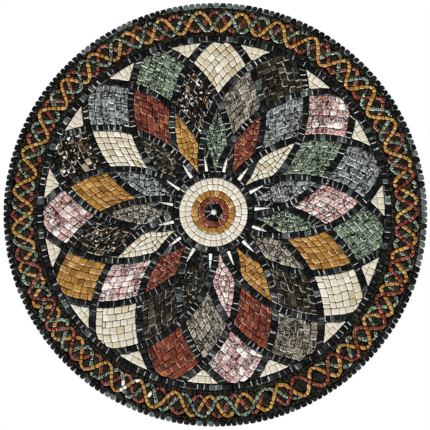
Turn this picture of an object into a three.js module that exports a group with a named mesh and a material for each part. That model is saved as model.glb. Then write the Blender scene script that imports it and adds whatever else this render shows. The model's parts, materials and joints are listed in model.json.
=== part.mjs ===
// A round marble mosaic medallion: fields and courses of small stones on a resin-soaked net, made to be
// set into a wall or a floor. Millimetres. The medallion stands upright in the XZ plane and faces -Y, with
// the origin at the middle of its flat back. Each field of stones is one plate with its true outline.
//
// The rosette is drawn by two mirrored families of fifteen black arcs that cross every half pitch. The
// petals, diamonds and kites fill the cells between the crossings. The layout is first worked out with
// perfect fifteen-fold symmetry and then shifted by the small drift of a pattern laid by hand.
import * as THREE from "three";

// Driving dimensions
const PANEL_RADIUS = 400;
const NET_THICKNESS = 2;
const STONE_THICKNESS = 8;
const NET_INSET = 3; // the net is trimmed this far inside the rim
const JOINT = 1; // open joint between neighbouring plates
const REPEATS = 15;
const HALF_LINE = 6.1; // half the width of a black line

// Radii at which the arcs cross, one for each half pitch. The first lies under the roundel.
const CROSSING_RADII = [52, 130.2, 212.8, 284.3, 345.3];

// Outer radii of the courses, from the centre out
const EYE_RADIUS = 5.2;
const BLACK_RING_RADIUS = 17.7;
const RED_RING_RADIUS = 29.5;
const GOLD_RING_RADIUS = 41.5;
const CREAM_RING_RADIUS = 65;
const ROSETTE_RADIUS = 323; // inner edge of the black border course
const BORDER_RADIUS = 334.5;
const BRAID_RADIUS = 389.2;

// The hand-laid drift: the rosette sits off the rim's centre, which the border courses make up for, and
// the repeats bunch up on one side
const EYE_SHIFT = new THREE.Vector2(-3.2, 5.2);
const SHIFT_POWER = 5; // how late, on the way out, the shift is made up for
const TURN_MEAN = 3.1;
const TURN_SWING = 1.5;
const TURN_PEAK = 238; // bearing at which the repeats are turned the most

// Facets
const RING_SIDES = 90;
const ROUNDEL_SIDES = 36;
const EYE_SIDES = 12;
const EDGE_STEPS = 4; // straight facets along each side of a field

const HALF_PITCH = Math.PI / REPEATS;
const radians = THREE.MathUtils.degToRad;

// Where a point of the perfect layout ends up. Bearings run clockwise from the top, seen from the front.
function layOut(radius, bearing) {
  const turn = radians(TURN_MEAN + TURN_SWING * Math.cos(bearing - radians(TURN_PEAK)));
  const shift = EYE_SHIFT.clone().multiplyScalar(1 - (radius / PANEL_RADIUS) ** SHIFT_POWER);
  return shift.add(
    new THREE.Vector2(Math.sin(bearing + turn), Math.cos(bearing + turn)).multiplyScalar(radius),
  );
}

// The value between low and high at which a rising function reaches the target, by halving.
function solve(rising, target, low, high) {
  for (let round = 0; round < 40; round += 1) {
    const middle = (low + high) / 2;
    if (rising(middle) < target) low = middle;
    else high = middle;
  }
  return (low + high) / 2;
}

// How fast an arc climbs at one of its crossings, in millimetres for each half pitch.
function climbAtCrossing(index) {
  const before = Math.max(index - 1, 0);
  const after = Math.min(index + 1, CROSSING_RADII.length - 1);
  return (CROSSING_RADII[after] - CROSSING_RADII[before]) / (after - before);
}

// The radius of an arc after a number of half pitches, a smooth cubic through the crossing radii.
function arcRadius(step) {
  const index = Math.min(Math.floor(step), CROSSING_RADII.length - 2);
  const t = step - index;
  return (
    CROSSING_RADII[index] * (2 * t ** 3 - 3 * t ** 2 + 1) +
    climbAtCrossing(index) * (t ** 3 - 2 * t ** 2 + t) +
    CROSSING_RADII[index + 1] * (3 * t ** 2 - 2 * t ** 3) +
    climbAtCrossing(index + 1) * (t ** 3 - t ** 2)
  );
}

// The angle that a clearance takes up beside an arc. It grows with the arc's lean from the radius.
function clearanceAngle(step, clearance) {
  const radius = arcRadius(step);
  const nudge = 1e-3;
  const climb = (arcRadius(step + nudge) - arcRadius(step - nudge)) / (2 * nudge);
  const lean = (HALF_PITCH * radius) / climb;
  return (clearance * Math.hypot(1, lean)) / radius;
}

// Half the angle across a cell, at a step counted from its lower crossing (0) to its upper one (2).
function halfAngle(lowerCrossing, step, clearance) {
  return HALF_PITCH * Math.min(step, 2 - step) - clearanceAngle(lowerCrossing + step, clearance);
}

// Outline of the cell above a crossing, kept clear of its four arcs: up one side and down the other.
// A cell whose top would pass the border course ends in a blunt head at topRadius.
function cellOutline({ lowerCrossing, bearing, clearance, topRadius = Infinity }) {
  const width = (step) => halfAngle(lowerCrossing, step, clearance);
  const foot = solve(width, 0, 0.02, 1);
  const topCrossing = lowerCrossing + 2;
  const isBlunt = CROSSING_RADII[topCrossing] > topRadius;
  const head = isBlunt
    ? solve((step) => arcRadius(lowerCrossing + step), topRadius, 1, 2)
    : solve((step) => -width(step), 0, 1, 1.98);
  const steps = [];
  for (let i = 0; i <= EDGE_STEPS; i += 1) steps.push(foot + ((1 - foot) * i) / EDGE_STEPS);
  for (let i = 1; i <= EDGE_STEPS; i += 1) steps.push(1 + ((head - 1) * i) / EDGE_STEPS);
  const side = (sign, step) =>
    layOut(arcRadius(lowerCrossing + step), bearing + sign * Math.max(width(step), 0));
  const up = steps.map((step) => side(1, step));
  const down = steps.slice(1, isBlunt ? undefined : -1).map((step) => side(-1, step));
  return [...up, ...down.reverse()];
}

// Outlines run counter-clockwise, so bearings fall from point to point.
function circle(radius, sides) {
  return Array.from({ length: sides }, (_, i) => layOut(radius, (-2 * Math.PI * i) / sides));
}

// A flat plate with an outline and holes, standing on the net or, for the net itself, at its back.
function plate({ name, outline, holes = [], bottom = NET_THICKNESS, thickness = STONE_THICKNESS, stone }) {
  const shape = new THREE.Shape(outline);
  shape.holes = holes.map((hole) => new THREE.Path(hole));
  const geometry = new THREE.ExtrudeGeometry(shape, { depth: thickness, bevelEnabled: false });
  const mesh = new THREE.Mesh(geometry, stone.clone());
  mesh.name = name;
  mesh.position.z = bottom;
  return mesh;
}

function ringPlate(name, innerRadius, outerRadius, sides, stone) {
  return plate({
    name,
    outline: circle(outerRadius - JOINT / 2, sides),
    holes: [circle(innerRadius + JOINT / 2, sides)],
    stone,
  });
}

function stone(color, roughness = 0.7) {
  return new THREE.MeshStandardMaterial({ color, roughness, metalness: 0 });
}

const STONES = {
  white: stone(0xd9d3c6),
  cream: stone(0xbfae95),
  gold: stone(0xb08a4e),
  red: stone(0x8e3f2c),
  green: stone(0x55604e),
  slate: stone(0x59606a),
  taupe: stone(0x7d7267),
  pink: stone(0xa8746a),
  brown: stone(0x43322c),
  veined: stone(0x2c2826),
  black: stone(0x1d1d20),
  net: stone(0xc9c6b8, 0.5),
};

// The three families of fields, each with the stone of every repeat, clockwise from the top
const FIELD_FAMILIES = [
  {
    name: "petal",
    lowerCrossing: 0,
    firstBearing: 0,
    stones: [
      "green", "red", "cream", "slate", "green",
      "taupe", "gold", "pink", "brown", "red",
      "cream", "taupe", "slate", "brown", "gold",
    ],
  },
  {
    name: "diamond",
    lowerCrossing: 1,
    firstBearing: HALF_PITCH,
    stones: [
      "taupe", "slate", "green", "pink", "gold",
      "brown", "red", "taupe", "brown", "pink",
      "veined", "gold", "cream", "red", "veined",
    ],
  },
  {
    name: "kite",
    lowerCrossing: 2,
    firstBearing: 0,
    stones: [
      "cream", "brown", "pink", "slate", "green",
      "cream", "taupe", "pink", "red", "cream",
      "gold", "pink", "veined", "slate", "green",
    ],
  },
];

// One entry for each field: its name, its stone and how its cell is cut out.
const fields = FIELD_FAMILIES.flatMap(({ name, lowerCrossing, firstBearing, stones }) =>
  stones.map((kind, repeat) => ({
    name: `${name}_${String(repeat + 1).padStart(2, "0")}`,
    kind,
    lowerCrossing,
    bearing: firstBearing + 2 * HALF_PITCH * repeat,
  })),
);

function fieldPlate(field) {
  const outline = cellOutline({
    ...field,
    clearance: HALF_LINE + JOINT / 2,
    topRadius: ROSETTE_RADIUS - JOINT / 2,
  });
  return plate({ name: field.name, outline, stone: STONES[field.kind] });
}

// The black course round the roundel, the arcs and the border course are one connected lattice.
function lattice() {
  const windows = fields.map((field) =>
    cellOutline({
      ...field,
      clearance: HALF_LINE - JOINT / 2,
      topRadius: ROSETTE_RADIUS + JOINT / 2,
    }),
  );
  return plate({
    name: "black_lattice",
    outline: circle(BORDER_RADIUS - JOINT / 2, RING_SIDES),
    holes: [circle(CREAM_RING_RADIUS + JOINT / 2, ROUNDEL_SIDES), ...windows],
    stone: STONES.black,
  });
}

function netBacking() {
  return plate({
    name: "net_backing",
    outline: circle(PANEL_RADIUS - NET_INSET, RING_SIDES),
    bottom: 0,
    thickness: NET_THICKNESS,
    stone: STONES.net,
  });
}

function roundel() {
  const eye = plate({
    name: "eye_stone",
    outline: circle(EYE_RADIUS - JOINT / 2, EYE_SIDES),
    stone: STONES.white,
  });
  return [
    eye,
    ringPlate("black_ring", EYE_RADIUS, BLACK_RING_RADIUS, ROUNDEL_SIDES, STONES.black),
    ringPlate("red_ring", BLACK_RING_RADIUS, RED_RING_RADIUS, ROUNDEL_SIDES, STONES.red),
    ringPlate("gold_ring", RED_RING_RADIUS, GOLD_RING_RADIUS, ROUNDEL_SIDES, STONES.gold),
    ringPlate("cream_ring", GOLD_RING_RADIUS, CREAM_RING_RADIUS, ROUNDEL_SIDES, STONES.cream),
  ];
}

function border() {
  return [
    ringPlate("braid_band", BORDER_RADIUS, BRAID_RADIUS, RING_SIDES, STONES.brown),
    ringPlate("rim_course", BRAID_RADIUS, PANEL_RADIUS + JOINT / 2, RING_SIDES, STONES.black),
  ];
}

// Plates are drawn lying face up, then stood upright: their +Z becomes -Y and their +Y becomes +Z.
const medallion = new THREE.Group();
medallion.add(netBacking(), ...roundel(), lattice(), ...fields.map(fieldPlate), ...border());
medallion.matrix.makeBasis(
  new THREE.Vector3(1, 0, 0),
  new THREE.Vector3(0, 0, 1),
  new THREE.Vector3(0, -1, 0),
);
medallion.matrixAutoUpdate = false;

const mosaicPanel = new THREE.Group();
mosaicPanel.add(medallion);

export default mosaicPanel;
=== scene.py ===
"""Looks of a round marble mosaic medallion, built around its fixed frame.

Every stone of the medallion is a small solid of its own: a hand-cut prism with rounded corners, bruised
edges and a slightly crowned face. The stones are set out in courses, and each course or field of stones
is one piece that stands for the plate of the frame with the same outline.

Layout is worked out in millimetres in the plane of the medallion, x to the right and z up, as seen from
the front. Bearings run clockwise from the top. Depth is measured from the back face towards the viewer,
which is -Y, and everything becomes metres when a mesh is made.
"""

import json
import logging
import math
from collections.abc import Iterator
from dataclasses import dataclass, field
from enum import Enum

import bpy
import numpy as np
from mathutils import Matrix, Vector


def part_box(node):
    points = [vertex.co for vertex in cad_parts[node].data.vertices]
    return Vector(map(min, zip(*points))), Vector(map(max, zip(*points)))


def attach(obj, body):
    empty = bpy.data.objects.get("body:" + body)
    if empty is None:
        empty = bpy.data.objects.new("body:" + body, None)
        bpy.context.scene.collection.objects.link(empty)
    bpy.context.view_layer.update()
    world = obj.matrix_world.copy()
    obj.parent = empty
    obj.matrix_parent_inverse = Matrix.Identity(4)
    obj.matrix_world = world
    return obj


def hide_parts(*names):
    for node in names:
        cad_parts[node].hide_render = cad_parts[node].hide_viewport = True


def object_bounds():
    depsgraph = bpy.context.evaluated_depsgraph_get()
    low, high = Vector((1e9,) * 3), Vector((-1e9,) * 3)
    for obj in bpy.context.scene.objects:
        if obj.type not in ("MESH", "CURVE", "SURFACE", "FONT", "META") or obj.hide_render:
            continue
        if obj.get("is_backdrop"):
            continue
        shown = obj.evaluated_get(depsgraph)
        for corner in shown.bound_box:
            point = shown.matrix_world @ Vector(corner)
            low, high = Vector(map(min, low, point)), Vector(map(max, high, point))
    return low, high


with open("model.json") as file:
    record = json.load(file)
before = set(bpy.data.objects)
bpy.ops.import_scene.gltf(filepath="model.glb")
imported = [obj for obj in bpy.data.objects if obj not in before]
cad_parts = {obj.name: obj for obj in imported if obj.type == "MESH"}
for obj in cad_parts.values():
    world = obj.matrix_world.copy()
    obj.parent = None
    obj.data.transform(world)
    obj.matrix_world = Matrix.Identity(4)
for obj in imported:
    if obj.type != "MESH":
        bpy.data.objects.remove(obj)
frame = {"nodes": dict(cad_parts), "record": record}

CAD_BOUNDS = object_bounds()
MM = 1000.0

Array = np.ndarray
Colour = tuple[float, float, float, float]
log = logging.getLogger("mosaic")


def colour(code: str) -> Colour:
    """Linear colour of a six-digit sRGB code.

    Args:
        code: Hexadecimal red, green and blue, such as "C8B090".

    Returns:
        Linear red, green, blue and an alpha of 1. Each channel is ((c + 0.055) / 1.055) ** 2.4.
    """
    channels = [int(code[i : i + 2], 16) / 255 for i in (0, 2, 4)]
    linear = [c / 12.92 if c <= 0.04045 else ((c + 0.055) / 1.055) ** 2.4 for c in channels]
    return (linear[0], linear[1], linear[2], 1.0)


class Stone(Enum):
    """The kinds of stone, by the material slot that each one's pieces take their finish from."""

    WHITE = "white_limestone"
    CREAM = "cream_limestone"
    GOLD = "gold_limestone"
    RED = "red_marble"
    GREEN = "green_marble"
    SLATE = "slate_marble"
    TAUPE = "taupe_marble"
    PINK = "pink_breccia"
    BROWN = "brown_marble"
    VEINED = "veined_dark_marble"
    BLACK = "black_marble"


# ---------------------------------------------------------------------------------------------- finishes


class NodeBench:
    """A short-hand for wiring a material's nodes."""

    def __init__(self, name: str) -> None:
        """Start a material with its shader and output wired up.

        Args:
            name: Name of the new material.
        """
        self.material = bpy.data.materials.new(name)
        self.material.use_nodes = True
        self.tree = self.material.node_tree
        self.tree.nodes.clear()
        self.shader = self.tree.nodes.new("ShaderNodeBsdfPrincipled")
        output = self.tree.nodes.new("ShaderNodeOutputMaterial")
        self.tree.links.new(self.shader.outputs["BSDF"], output.inputs["Surface"])

    def feed(self, target: bpy.types.NodeSocket, value: object) -> None:
        """Link a socket, or set a plain value, into an input.

        Args:
            target: The input.
            value: An output socket, or a value that the input takes.
        """
        if isinstance(value, bpy.types.NodeSocket):
            self.tree.links.new(value, target)
        else:
            target.default_value = value

    def attribute(self, name: str, output: str = "Fac") -> bpy.types.NodeSocket:
        """One of the mesh's own attributes.

        Args:
            name: The attribute.
            output: Which output of the node: "Fac", "Vector" or "Color".

        Returns:
            The output socket.
        """
        node = self.tree.nodes.new("ShaderNodeAttribute")
        node.attribute_name = name
        return node.outputs[output]

    def stone_coordinates(self) -> bpy.types.NodeSocket:
        """Object coordinates moved by each stone's own shift, so that no vein runs on into the next stone.

        Returns:
            The vector: object position + shift.
        """
        place = self.tree.nodes.new("ShaderNodeTexCoord").outputs["Object"]
        add = self.tree.nodes.new("ShaderNodeVectorMath")
        self.feed(add.inputs[0], place)
        self.feed(add.inputs[1], self.attribute("shift", "Vector"))
        return add.outputs[0]

    def noise(
        self,
        vector: bpy.types.NodeSocket,
        size_mm: float,
        detail: float = 2.0,
        rough: float = 0.5,
        warp: float = 0.0,
    ) -> bpy.types.NodeSocket:
        """Fractal noise.

        Args:
            vector: Coordinates in metres.
            size_mm: Size of the largest features.
            detail: Number of finer octaves.
            rough: Strength of the finer octaves.
            warp: Distortion.

        Returns:
            The noise, about 0.5 on average.
        """
        node = self.tree.nodes.new("ShaderNodeTexNoise")
        self.feed(node.inputs["Vector"], vector)
        node.inputs["Scale"].default_value = MM / size_mm
        node.inputs["Detail"].default_value = detail
        node.inputs["Roughness"].default_value = rough
        node.inputs["Distortion"].default_value = warp
        return node.outputs["Fac"]

    def maths(self, operation: str, a: object, b: object = 0.0, clamp: bool = False) -> bpy.types.NodeSocket:
        """One arithmetic step.

        Args:
            operation: Name of the step, such as "MULTIPLY".
            a: First operand, a socket or a number.
            b: Second operand.
            clamp: Whether the result is kept within 0 and 1.

        Returns:
            The result.
        """
        node = self.tree.nodes.new("ShaderNodeMath")
        node.operation = operation
        node.use_clamp = clamp
        self.feed(node.inputs[0], a)
        self.feed(node.inputs[1], b)
        return node.outputs[0]

    def span(self, value: object, low: float, high: float) -> bpy.types.NodeSocket:
        """A value stretched so that low becomes 0 and high becomes 1, and clamped.

        Args:
            value: The value.
            low: Where the result is 0.
            high: Where the result is 1. It may be below low.

        Returns:
            (value - low) / (high - low), within 0 and 1.
        """
        node = self.tree.nodes.new("ShaderNodeMapRange")
        node.clamp = True
        self.feed(node.inputs["Value"], value)
        node.inputs["From Min"].default_value = low
        node.inputs["From Max"].default_value = high
        return node.outputs["Result"]

    def spread(self, value: object, amount: float, middle: float = 1.0) -> bpy.types.NodeSocket:
        """A noise value spread about a middle.

        Args:
            value: Noise, about 0.5 on average.
            amount: How far the result spreads for a whole unit of noise.
            middle: The result for a noise of 0.5.

        Returns:
            middle + amount * (value - 0.5).
        """
        node = self.tree.nodes.new("ShaderNodeMath")
        node.operation = "MULTIPLY_ADD"
        self.feed(node.inputs[0], value)
        node.inputs[1].default_value = amount
        node.inputs[2].default_value = middle - amount / 2
        return node.outputs[0]

    def scaled(self, paint: object, factor: object) -> bpy.types.NodeSocket:
        """A colour made lighter or darker by a factor."""
        node = self.tree.nodes.new("ShaderNodeVectorMath")
        node.operation = "SCALE"
        self.feed(node.inputs[0], paint)
        self.feed(node.inputs["Scale"], factor)
        return node.outputs[0]

    def ramp(self, value: object, stops: tuple[tuple[float, str], ...]) -> bpy.types.NodeSocket:
        """A colour looked up along a ramp.

        Args:
            value: Place along the ramp.
            stops: Places and their colours.

        Returns:
            The colour.
        """
        node = self.tree.nodes.new("ShaderNodeValToRGB")
        elements = node.color_ramp.elements
        while len(elements) < len(stops):
            elements.new(1.0)
        for element, (place, code) in zip(elements, stops):
            element.position = place
            element.color = colour(code)
        self.feed(node.inputs["Fac"], value)
        return node.outputs["Color"]

    def mix(self, share: object, a: object, b: object) -> bpy.types.NodeSocket:
        """A blend of two colours.

        Args:
            share: How much of b there is.
            a: First colour.
            b: Second colour.

        Returns:
            a * (1 - share) + b * share.
        """
        node = self.tree.nodes.new("ShaderNodeMix")
        node.data_type = "RGBA"
        self.feed(node.inputs["Factor"], share)
        self.feed(node.inputs["A"], a)
        self.feed(node.inputs["B"], b)
        return node.outputs["Result"]

    def bump(self, height: object, depth_mm: float) -> None:
        """Surface relief on the shader.

        Args:
            height: Height, from 0 to 1.
            depth_mm: What a height of 1 stands for.
        """
        node = self.tree.nodes.new("ShaderNodeBump")
        node.inputs["Distance"].default_value = depth_mm / MM
        self.feed(node.inputs["Height"], height)
        self.feed(self.shader.inputs["Normal"], node.outputs["Normal"])


FLECK_EDGE = 0.03  # how much noise the soft edge of a fleck takes up


@dataclass(frozen=True)
class StoneFinish:
    """Colour and surface of one kind of stone.

    The palette gives each stone its own tone. Blotches, veins and flecks are then laid over it, and the
    edges are lightened: partly the bruising the hammer leaves, partly painted highlight for light caught
    by the chamfers.
    """

    palette: tuple[tuple[float, str], ...]
    blotch: str
    blotch_share: float = 0.4
    blotch_size: float = 5.0
    blotch_span: tuple[float, float] = (0.44, 0.6)
    vein: str | None = None
    vein_share: float = 0.6
    vein_width: float = 0.03
    vein_size: float = 9.0
    fleck: str | None = None
    fleck_from: float = 0.66
    fleck_size: float = 6.0
    mottle: float = 0.5
    # edge colour and its share: partly bruised stone, partly painted highlight on the chamfers
    edge: str = "8A8C88"
    bruise_and_highlight_share: float = 0.5
    rough: float = 0.62
    shine: float = 0.1

    def make(self, name: str) -> bpy.types.Material:
        """The stone's material.

        Args:
            name: Name of the material.

        Returns:
            The material.
        """
        bench = NodeBench(name)
        where = bench.stone_coordinates()
        base = bench.ramp(bench.attribute("tone"), self.palette)
        cloud = bench.noise(where, self.blotch_size, 4.0, 0.62, 0.6)
        share = bench.maths("MULTIPLY", bench.span(cloud, *self.blotch_span), self.blotch_share)
        base = bench.mix(share, base, colour(self.blotch))
        if self.vein:
            wander = bench.noise(where, self.vein_size, 3.0, 0.55, 1.4)
            offset = bench.maths("ABSOLUTE", bench.maths("SUBTRACT", wander, 0.5))
            line = bench.maths("MULTIPLY", bench.span(offset, self.vein_width, 0.0), self.vein_share)
            base = bench.mix(line, base, colour(self.vein))
        if self.fleck:
            spot = bench.noise(where, self.fleck_size, 1.5, 0.5, 0.8)
            is_fleck = bench.span(spot, self.fleck_from, self.fleck_from + FLECK_EDGE)
            base = bench.mix(is_fleck, base, colour(self.fleck))
        grain = bench.noise(where, 3.4, 3.0, 0.6)
        base = bench.scaled(base, bench.spread(grain, self.mottle))
        # Edges lightened towards the edge colour: partly bruising, partly painted highlight where the chamfers
        # catch light.
        bruise_and_highlight_breaks = bench.span(bench.noise(where, 2.4, 2.0, 0.6), 0.36, 0.52)
        bruise_and_highlight_amount = bench.maths("MULTIPLY", bench.span(bench.attribute("edge"), 0.25, 0.75), bruise_and_highlight_breaks)
        base = bench.mix(bench.maths("MULTIPLY", bruise_and_highlight_amount, self.bruise_and_highlight_share), base, colour(self.edge))
        bench.feed(bench.shader.inputs["Base Color"], base)
        bench.feed(bench.shader.inputs["Roughness"], bench.spread(cloud, 0.3, self.rough))
        bench.shader.inputs["Specular IOR Level"].default_value = self.shine
        bench.bump(bench.maths("ADD", bench.maths("MULTIPLY", grain, 0.4), cloud), 0.4)
        return bench.material


# The edge colours are partly bruised stone and partly painted highlight on the chamfers.
FINISHES = {
    Stone.WHITE: StoneFinish(
        palette=((0.0, "DDD6C4"), (0.5, "EEE9DC"), (1.0, "FAF8F0")), blotch="D6CEBA",
        blotch_share=0.25, edge="FAF8F2", bruise_and_highlight_share=0.5, mottle=0.12,
    ),
    Stone.CREAM: StoneFinish(
        palette=((0.0, "BFAB89"), (0.1, "CDBE9F"), (0.3, "D9D1BB"), (0.8, "E2DCCA"), (1.0, "F2EEE2")),
        blotch="C4B596", blotch_share=0.35, vein="A8906C", vein_share=0.22, edge="F6F4EC", bruise_and_highlight_share=0.8,
        mottle=0.22,
    ),
    Stone.GOLD: StoneFinish(
        palette=((0.0, "7A5024"), (0.25, "AA7832"), (0.75, "C08E46"), (1.0, "D6AA62")),
        blotch="8E6028", blotch_share=0.65, vein="6E4620", vein_share=0.5, edge="F2DAAE", bruise_and_highlight_share=0.95,
        mottle=0.9,
    ),
    Stone.RED: StoneFinish(
        palette=((0.0, "3A140A"), (0.25, "602415"), (0.7, "80361F"), (0.94, "964A2E"), (1.0, "BC7038")),
        blotch="44180B", blotch_share=0.7, vein="BC8472", vein_share=0.5, edge="DCAC9C", bruise_and_highlight_share=1.0,
        mottle=1.1,
    ),
    Stone.GREEN: StoneFinish(
        palette=((0.0, "090C09"), (0.35, "1A2118"), (0.7, "38432F"), (1.0, "80906F")),
        blotch="0B0F0A", blotch_share=0.95, blotch_size=5.5, blotch_span=(0.47, 0.55), vein="B4C6AA",
        vein_share=0.85, vein_width=0.05, vein_size=8.0, edge="DCEADC", bruise_and_highlight_share=1.0, mottle=1.5,
    ),
    Stone.SLATE: StoneFinish(
        palette=((0.0, "08090A"), (0.35, "181B1C"), (0.7, "33393A"), (1.0, "909896")),
        blotch="0B0D0D", blotch_share=0.95, blotch_size=5.5, blotch_span=(0.47, 0.55), vein="C8CECC",
        vein_share=0.9, vein_width=0.05, vein_size=8.0, edge="EAF0EE", bruise_and_highlight_share=1.0, mottle=1.5,
    ),
    Stone.TAUPE: StoneFinish(
        palette=((0.0, "0D0B08"), (0.25, "241F18"), (0.6, "524A3D"), (1.0, "B0A794")),
        blotch="14110B", blotch_share=0.9, blotch_size=5.5, blotch_span=(0.47, 0.56), vein="CCC4B2",
        vein_share=0.8, vein_width=0.045, edge="E6E0D0", bruise_and_highlight_share=1.0, mottle=1.4,
    ),
    Stone.PINK: StoneFinish(
        palette=(
            (0.0, "2A1C18"), (0.08, "4A1E1A"), (0.24, "783630"), (0.44, "B07066"), (0.68, "D4A69C"),
            (0.85, "F2E6E0"),
        ),
        blotch="5E221C", blotch_share=0.9, blotch_size=6.5, blotch_span=(0.49, 0.58), vein="FAF2EE",
        vein_share=0.9, vein_width=0.05, vein_size=8.0, edge="FAF0EC", bruise_and_highlight_share=0.9, mottle=1.0,
    ),
    Stone.BROWN: StoneFinish(
        palette=((0.0, "080705"), (0.5, "19160F"), (0.85, "312B20"), (1.0, "645B4A")),
        blotch="070605", blotch_share=0.7, vein="665E4C", vein_share=0.5, edge="C4BFB0", bruise_and_highlight_share=1.0,
        mottle=1.4,
    ),
    Stone.VEINED: StoneFinish(
        palette=((0.0, "050403"), (0.6, "0E0B08"), (0.86, "1E160E"), (0.95, "5E3C18"), (1.0, "CCBA9C")),
        blotch="040303", blotch_share=0.6, vein="6E5634", vein_share=0.4, vein_width=0.02, vein_size=9.0,
        fleck="F4F0E6", fleck_from=0.64, fleck_size=8.0, edge="D0CCC0", bruise_and_highlight_share=1.0, mottle=1.4,
    ),
    # The black palette's lightest, blue-grey end is partly painted reflection: glossy faces catching light,
    # given as per-stone tone.
    Stone.BLACK: StoneFinish(
        palette=((0.0, "050606"), (0.6, "0D0E0E"), (0.84, "1C1F1E"), (0.93, "3C4241"), (1.0, "66706E")),
        blotch="050505", blotch_share=0.5, edge="E4E7E3", bruise_and_highlight_share=1.0, vein="3C4240", vein_share=0.3,
        mottle=1.0, shine=0.08,
    ),
}


# ------------------------------------------------------------------------------------------------ stones


@dataclass(frozen=True)
class Cut:
    """How the stones of a course are cut and set, in millimetres.

    The tones run over the palette of the finish: low and high bound them, and lean pushes them towards
    the low end above 1 and towards the high end below it. A bruise-and-highlight value of 1 leaves an edge
    as light as the finish allows; that lightening is partly bruising and partly painted highlight for light
    caught by the chamfers. It is stated for the sides along the course and for those at its cross joints.
    """

    joint: float = 0.9
    joint_play: float = 0.35
    corner: float = 1.5
    corner_play: float = 0.5
    outer_corner: float = 0.0
    chamfer: float = 0.65
    chamfer_drop: float = 0.55
    pillow: float = 1.7
    crown: float = 0.14
    taper: float = 0.5
    wobble: float = 0.22
    lift_play: float = 0.3
    tilt: float = 0.016
    tone_low: float = 0.0
    tone_high: float = 1.0
    tone_lean: float = 1.0
    bruise_and_highlight: tuple[float, float] = (1.0, 1.0)


@dataclass(frozen=True)
class Course:
    """The cells of some stones, how they are cut, and how much lighter than usual each one is."""

    cells: Array
    cut: Cut
    lift: Array | float = 0.0


CORNER_POINTS = 3
LEVELS = 4
LEVEL_BRUISE_AND_HIGHLIGHT = (0.2, 1.0, 0.8, 0.0)  # how much each level is lightened, partly bruising and partly painted highlight: foot, shoulder, face edge, face
SHIFT_SPREAD = 3.0  # metres over which the stones' patterns are scattered


def unit(vectors: Array) -> Array:
    """Vectors scaled to length 1.

    Args:
        vectors: Any number of vectors, along the last axis.

    Returns:
        The unit vectors.
    """
    length = np.linalg.norm(vectors, axis=-1, keepdims=True)
    return vectors / np.maximum(length, 1e-9)


def turned_anticlockwise(cells: Array) -> Array:
    """Cells whose corners all run anticlockwise, seen from the front.

    Args:
        cells: Corners, shaped (cells, 4, 2).

    Returns:
        The same cells, with the corners of each clockwise one reversed.
    """
    x, z = cells[..., 0], cells[..., 1]
    area = (x * np.roll(z, -1, axis=1) - np.roll(x, -1, axis=1) * z).sum(axis=1)
    return np.where((area < 0)[:, None, None], cells[:, [1, 0, 3, 2]], cells)


def drawn_in(cells: Array, gaps: Array) -> Array:
    """Cells with each side moved inwards by its own gap.

    Each corner moves by the mitre of its two sides' gaps. A side that would shrink by more than
    seven tenths keeps three tenths of its length, so that a sharp tip stays a tip.

    Args:
        cells: Anticlockwise corners, shaped (cells, 4, 2).
        gaps: The gap along the side after each corner, shaped (cells, 4).

    Returns:
        The smaller cells.
    """
    ahead = unit(np.roll(cells, -1, axis=1) - cells)
    inward = np.stack([-ahead[..., 1], ahead[..., 0]], axis=-1)
    inward_before = np.roll(inward, 1, axis=1)
    gaps_before = np.roll(gaps, 1, axis=1)
    cosine = (inward * inward_before).sum(axis=-1)
    sine_squared = np.maximum(1 - cosine**2, 0.05)
    after = (gaps - gaps_before * cosine) / sine_squared
    before = (gaps_before - gaps * cosine) / sine_squared
    move = inward * after[..., None] + inward_before * before[..., None]
    reach = np.linalg.norm(move, axis=-1, keepdims=True)
    limit = 2.2 * np.maximum(gaps, gaps_before)[..., None]
    move *= np.minimum(1, limit / np.maximum(reach, 1e-9))
    length = np.linalg.norm(np.roll(cells, -1, axis=1) - cells, axis=-1)
    closing = ((move - np.roll(move, -1, axis=1)) * ahead).sum(axis=-1)
    excess = np.maximum(closing - 0.7 * length, 0) / 2
    move -= ahead * excess[..., None]
    move += np.roll(ahead * excess[..., None], 1, axis=1)
    return cells + move


def rounded(cells: Array, radii: Array) -> Array:
    """Outlines with each corner of a cell cut round by three points.

    The outer two points lie one radius along the sides, and the middle one is where a quadratic curve
    between them is half way: a quarter of each plus half of the corner.

    Args:
        cells: Corners, shaped (cells, 4, 2).
        radii: Radius of each corner, shaped (cells, 4), kept under 0.42 of each side.

    Returns:
        Outlines, shaped (cells, 12, 2).
    """
    behind = np.roll(cells, 1, axis=1) - cells
    ahead = np.roll(cells, -1, axis=1) - cells
    reach = np.minimum(np.linalg.norm(behind, axis=-1), np.linalg.norm(ahead, axis=-1))
    radius = np.minimum(radii, 0.42 * reach)[..., None]
    first = cells + unit(behind) * radius
    last = cells + unit(ahead) * radius
    middle = 0.5 * cells + 0.25 * (first + last)
    return np.stack([first, middle, last], axis=2).reshape(len(cells), 4 * CORNER_POINTS, 2)


def shrunk(outlines: Array, inset: float) -> Array:
    """Outlines with every point moved towards its stone's middle.

    Args:
        outlines: Points, shaped (stones, points, 2).
        inset: Distance moved, never more than 0.45 of the way.

    Returns:
        middle + (point - middle) * (1 - inset / distance).
    """
    middle = outlines.mean(axis=1, keepdims=True)
    arm = outlines - middle
    reach = np.linalg.norm(arm, axis=-1, keepdims=True)
    return middle + arm * np.maximum(1 - inset / np.maximum(reach, 1e-6), 0.55)


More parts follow.
